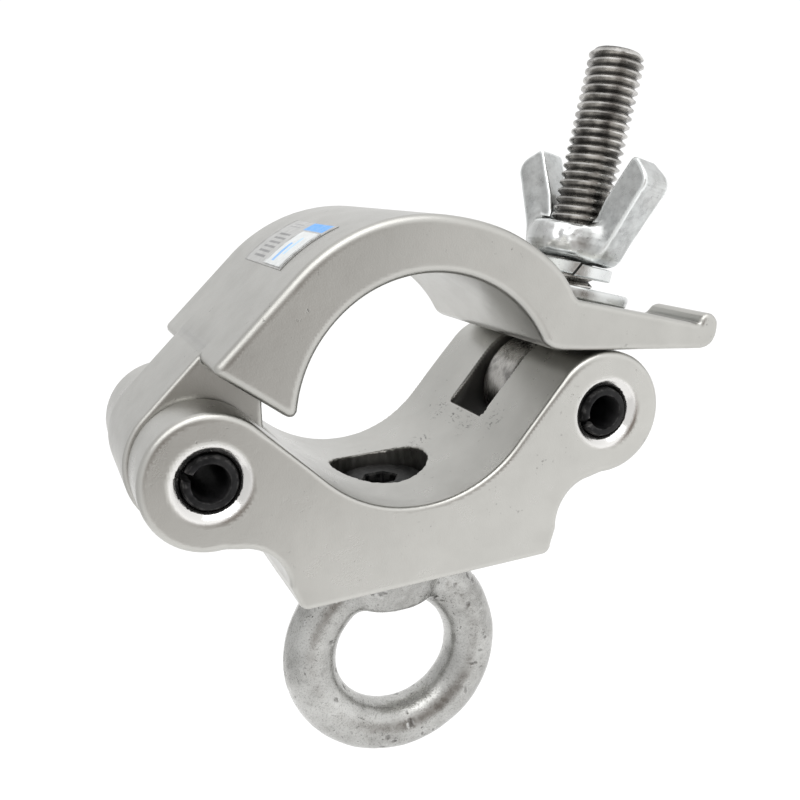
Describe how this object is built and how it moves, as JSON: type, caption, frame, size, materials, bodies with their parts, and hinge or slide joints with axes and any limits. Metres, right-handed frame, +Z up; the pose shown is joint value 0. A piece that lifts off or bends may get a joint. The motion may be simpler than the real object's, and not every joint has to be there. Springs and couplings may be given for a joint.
{
  "type": "pipe clamp",
  "caption": "Cast aluminium half coupler for round stage tube, with a hinged jaw, swing bolt, wing nut and lifting eye.",
  "frame": {"origin": "centre of the tube that the saddle carries, half way along the clamp's width", "axes": "+Y along the tube, +X from the tube towards the swing bolt, +Z up, away from the lifting eye"},
  "size_m": [0.1153, 0.05, 0.1446],
  "materials": {
    "cast_aluminium": "bead blasted, with brighter rounded edges",
    "blackened_steel": "black oxide, lightly oiled",
    "bare_steel": "rolled thread, dull with bright crests",
    "zinc_plated_steel": "bright zinc plate, slightly mottled",
    "galvanised_steel": "rough forged and galvanised, with small pits",
    "label_film": "printed film"
  },
  "bodies": {
    "base": {"base_saddle": "cast_aluminium", "hinge_spring_pin": "blackened_steel", "bolt_spring_pin": "blackened_steel", "eye_screw": "blackened_steel", "eye_nut": "galvanised_steel"},
    "jaw": {"jaw": "cast_aluminium", "blank_label": "label_film"},
    "swing_bolt": {"swing_bolt": "bare_steel"},
    "washers": {"flat_washer": "zinc_plated_steel", "spring_washer": "zinc_plated_steel"},
    "wing_nut": {"wing_nut": "zinc_plated_steel"}
  },
  "joints": [
    {"name": "jaw_hinge", "type": "hinge", "parent": "base", "child": "jaw", "pos_m": [-0.0382, 0, -0.0143], "axis": [0, -1, 0], "range_deg": [0, 16.5]},
    {"name": "swing_bolt_hinge", "type": "hinge", "parent": "base", "child": "swing_bolt", "pos_m": [0.0382, 0, -0.0143], "axis": [0, 1, 0], "range_deg": [0, 24.75]},
    {"name": "nut_travel", "type": "slide", "parent": "swing_bolt", "child": "washers", "axis": [0.2823, 0, 0.9593], "range_m": [0, 0.0396]},
    {"name": "wing_nut_spin", "type": "hinge", "parent": "washers", "child": "wing_nut", "pos_m": [0.04603, 0, 0.01232], "axis": [0.2823, 0, 0.9593], "continuous": true}
  ],
  "couplings": [
    {"joint": "swing_bolt_hinge", "follows": "jaw_hinge", "ratio": 1.5},
    {"joint": "nut_travel", "follows": "jaw_hinge", "m_per_rad": 0.13751}
  ]
}
